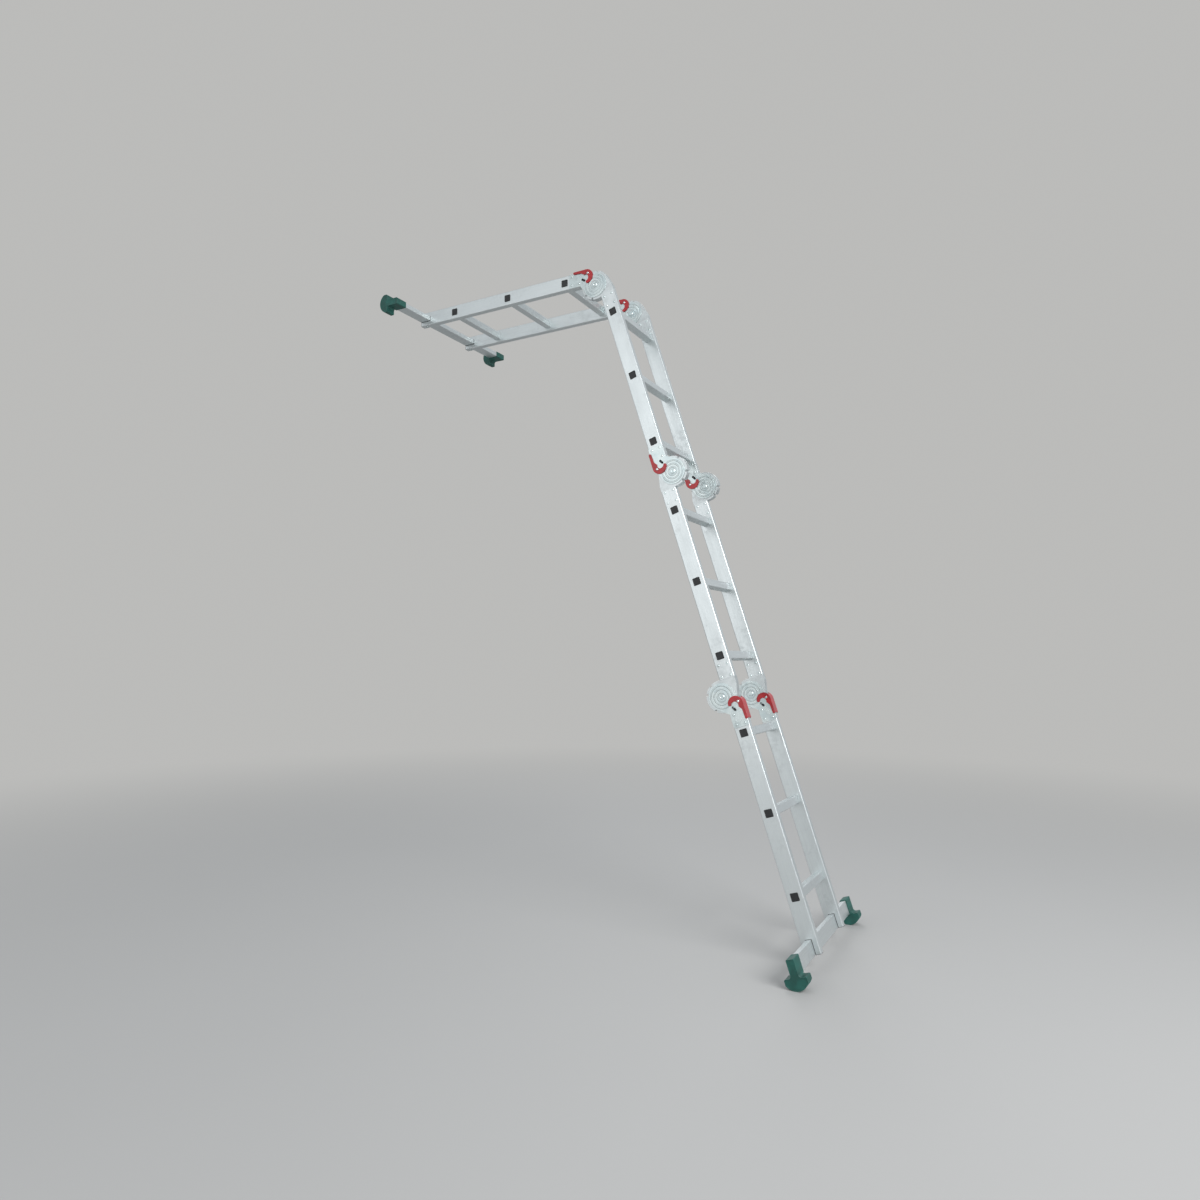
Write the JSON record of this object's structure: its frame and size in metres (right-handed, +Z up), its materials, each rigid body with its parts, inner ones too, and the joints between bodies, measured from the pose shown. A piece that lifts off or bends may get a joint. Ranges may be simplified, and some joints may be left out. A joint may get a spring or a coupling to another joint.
{
  "type": "multi position ladder",
  "caption": "Folding aluminium ladder with locking hinges, cross bars and rocker feet, set as a leaning ladder with a level wall stand-off.",
  "frame": {"origin": "on the floor, at the middle of the bounding box of the ladder as it leans on the wall", "axes": "+X from the wall to the climber's side, +Y to the right of a climber who faces the wall, +Z up"},
  "size_m": [1.7882, 0.7686, 2.5518],
  "materials": {
    "stile_aluminium": "mill finished extrusion, fine lengthwise grain",
    "rung_aluminium": "ribbed extrusion, satin",
    "bar_aluminium": "mill finished rectangular tube",
    "black_plastic": "moulded black plastic",
    "hinge_head_alloy": "satin cast alloy",
    "zinc_plate": "pressed steel, bright zinc plated",
    "zinc_rivet": "zinc plated",
    "red_lever": "red powder coat, glossy",
    "bolt_steel": "blackened steel",
    "spring_steel": "oiled spring wire",
    "green_foot": "moulded dark green elastomer"
  },
  "bodies": {
    "section_1": {"stile_1_left": "stile_aluminium", "stile_1_right": "stile_aluminium", "rungs_1": "rung_aluminium", "rung_plugs_1": "black_plastic", "bottom_bar": "bar_aluminium", "bottom_end_plugs": "black_plastic", "bottom_bar_screws": "zinc_rivet", "bottom_feet": "green_foot", "lower_hinge_plates": "zinc_plate", "lower_hinge_pivots": "zinc_rivet", "lower_plate_rivets": "zinc_rivet", "lower_lever_pins": "zinc_rivet", "lower_lever_springs": "spring_steel"},
    "section_2": {"stile_2_left": "stile_aluminium", "stile_2_right": "stile_aluminium", "rungs_2": "rung_aluminium", "rung_plugs_2": "black_plastic", "lower_hinge_heads": "hinge_head_alloy", "lower_head_rivets": "zinc_rivet", "middle_hinge_heads": "hinge_head_alloy", "middle_head_rivets": "zinc_rivet"},
    "section_3": {"stile_3_left": "stile_aluminium", "stile_3_right": "stile_aluminium", "rungs_3": "rung_aluminium", "rung_plugs_3": "black_plastic", "middle_hinge_plates": "zinc_plate", "middle_hinge_pivots": "zinc_rivet", "middle_plate_rivets": "zinc_rivet", "middle_lever_pins": "zinc_rivet", "middle_lever_springs": "spring_steel", "upper_hinge_heads": "hinge_head_alloy", "upper_head_rivets": "zinc_rivet"},
    "section_4": {"stile_4_left": "stile_aluminium", "stile_4_right": "stile_aluminium", "rungs_4": "rung_aluminium", "rung_plugs_4": "black_plastic", "top_bar": "bar_aluminium", "top_end_plugs": "black_plastic", "top_bar_screws": "zinc_rivet", "top_feet": "green_foot", "upper_hinge_plates": "zinc_plate", "upper_hinge_pivots": "zinc_rivet", "upper_plate_rivets": "zinc_rivet", "upper_lever_pins": "zinc_rivet", "upper_lever_springs": "spring_steel"},
    "lower_left_lever": {"lower_left_lever": "red_lever"},
    "lower_left_lock_bolt": {"lower_left_lock_bolt": "bolt_steel"},
    "lower_right_lever": {"lower_right_lever": "red_lever"},
    "lower_right_lock_bolt": {"lower_right_lock_bolt": "bolt_steel"},
    "middle_left_lever": {"middle_left_lever": "red_lever"},
    "middle_left_lock_bolt": {"middle_left_lock_bolt": "bolt_steel"},
    "middle_right_lever": {"middle_right_lever": "red_lever"},
    "middle_right_lock_bolt": {"middle_right_lock_bolt": "bolt_steel"},
    "upper_left_lever": {"upper_left_lever": "red_lever"},
    "upper_left_lock_bolt": {"upper_left_lock_bolt": "bolt_steel"},
    "upper_right_lever": {"upper_right_lever": "red_lever"},
    "upper_right_lock_bolt": {"upper_right_lock_bolt": "bolt_steel"}
  },
  "joints": [
    {"name": "upper_fold", "type": "hinge", "parent": "section_4", "child": "section_3", "pos_m": [0.03587, 0, 2.47688], "axis": [0, 1, 0], "range_deg": [-72.3, 107.7]},
    {"name": "middle_fold", "type": "hinge", "parent": "section_3", "child": "section_2", "pos_m": [0.36367, 0, 1.69975], "axis": [0, -1, 0], "range_deg": [0, 180]},
    {"name": "lower_fold", "type": "hinge", "parent": "section_2", "child": "section_1", "pos_m": [0.54665, 0, 0.87641], "axis": [0, 1, 0], "range_deg": [0, 180]},
    {"name": "lower_left_lever_pull", "type": "hinge", "parent": "section_1", "child": "lower_left_lever", "pos_m": [0.60736, -0.157, 0.86381], "axis": [0, -1, 0], "range_deg": [0, 10], "stiffness_Nm_per_rad": 4},
    {"name": "lower_left_lock_bolt_slide", "type": "slide", "parent": "section_1", "child": "lower_left_lock_bolt", "axis": [0.7513, 0, -0.66], "range_m": [0, 0.004]},
    {"name": "lower_right_lever_pull", "type": "hinge", "parent": "section_1", "child": "lower_right_lever", "pos_m": [0.60736, 0.157, 0.86381], "axis": [0, -1, 0], "range_deg": [0, 10], "stiffness_Nm_per_rad": 4},
    {"name": "lower_right_lock_bolt_slide", "type": "slide", "parent": "section_1", "child": "lower_right_lock_bolt", "axis": [0.7513, 0, -0.66], "range_m": [0, 0.004]},
    {"name": "middle_left_lever_pull", "type": "hinge", "parent": "section_3", "child": "middle_left_lever", "pos_m": [0.30296, -0.157, 1.71236], "axis": [0, -1, 0], "range_deg": [0, 10], "stiffness_Nm_per_rad": 4},
    {"name": "middle_left_lock_bolt_slide", "type": "slide", "parent": "section_3", "child": "middle_left_lock_bolt", "axis": [-0.7513, 0, 0.66], "range_m": [0, 0.004]},
    {"name": "middle_right_lever_pull", "type": "hinge", "parent": "section_3", "child": "middle_right_lever", "pos_m": [0.30296, 0.157, 1.71236], "axis": [0, -1, 0], "range_deg": [0, 10], "stiffness_Nm_per_rad": 4},
    {"name": "middle_right_lock_bolt_slide", "type": "slide", "parent": "section_3", "child": "middle_right_lock_bolt", "axis": [-0.7513, 0, 0.66], "range_m": [0, 0.004]},
    {"name": "upper_left_lever_pull", "type": "hinge", "parent": "section_4", "child": "upper_left_lever", "pos_m": [0.00541, -0.157, 2.53088], "axis": [0, 1, 0], "range_deg": [0, 10], "stiffness_Nm_per_rad": 4},
    {"name": "upper_left_lock_bolt_slide", "type": "slide", "parent": "section_4", "child": "upper_left_lock_bolt", "axis": [-0.8572, 0, 0.515], "range_m": [0, 0.004]},
    {"name": "upper_right_lever_pull", "type": "hinge", "parent": "section_4", "child": "upper_right_lever", "pos_m": [0.00541, 0.157, 2.53088], "axis": [0, 1, 0], "range_deg": [0, 10], "stiffness_Nm_per_rad": 4},
    {"name": "upper_right_lock_bolt_slide", "type": "slide", "parent": "section_4", "child": "upper_right_lock_bolt", "axis": [-0.8572, 0, 0.515], "range_m": [0, 0.004]}
  ],
  "couplings": [
    {"joint": "lower_left_lock_bolt_slide", "follows": "lower_left_lever_pull", "m_per_rad": 0.0229},
    {"joint": "lower_right_lock_bolt_slide", "follows": "lower_right_lever_pull", "m_per_rad": 0.0229},
    {"joint": "middle_left_lock_bolt_slide", "follows": "middle_left_lever_pull", "m_per_rad": 0.0229},
    {"joint": "middle_right_lock_bolt_slide", "follows": "middle_right_lever_pull", "m_per_rad": 0.0229},
    {"joint": "upper_left_lock_bolt_slide", "follows": "upper_left_lever_pull", "m_per_rad": 0.0229},
    {"joint": "upper_right_lock_bolt_slide", "follows": "upper_right_lever_pull", "m_per_rad": 0.0229}
  ]
}
